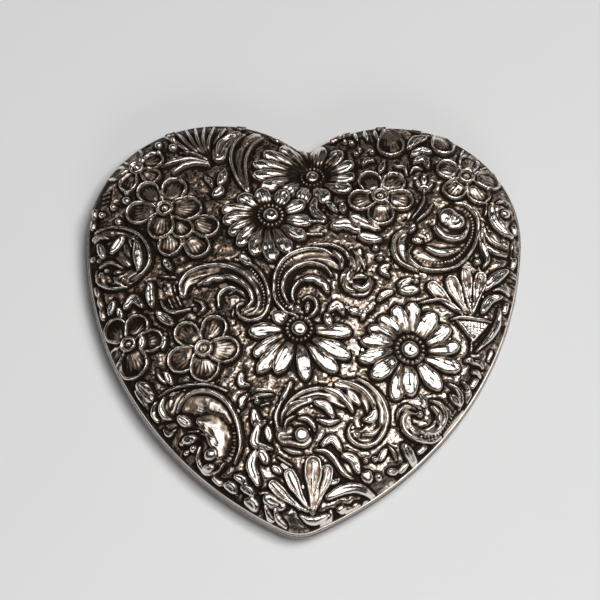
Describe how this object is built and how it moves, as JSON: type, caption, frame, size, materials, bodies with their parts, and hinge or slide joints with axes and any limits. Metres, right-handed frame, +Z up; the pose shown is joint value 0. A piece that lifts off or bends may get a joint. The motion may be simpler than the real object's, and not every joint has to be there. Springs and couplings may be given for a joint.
{
  "type": "trinket box",
  "caption": "Low heart-shaped metal trinket box: a domed lid stamped all over with flowers and scrolls lifts off a shallow lined base.",
  "frame": {"origin": "on the surface the box stands on, at the centre of the closed box's length and width", "axes": "+Z up, the way the lid lifts; -Y towards the tip of the heart; +X to the right seen from the tip"},
  "size_m": [0.076, 0.078, 0.0135],
  "materials": {
    "plain_silver": "polished silver plate on brass",
    "stamped_silver": "antiqued silver plate on stamped brass",
    "velvet": "short pile",
    "felt": "matt",
    "card": "matt"
  },
  "bodies": {
    "base": {"base_felt": "felt", "base_pan": "plain_silver", "base_bezel": "plain_silver", "floor_card": "card", "floor_velvet": "velvet", "wall_velvet": "velvet"},
    "lid": {"lid_rim": "plain_silver", "lid_shell": "stamped_silver", "lid_card": "card", "lid_velvet": "velvet"}
  },
  "joints": [
    {"name": "lid_lift", "type": "slide", "parent": "base", "child": "lid", "axis": [0, 0, 1], "range_m": [0, 0.03]}
  ]
}
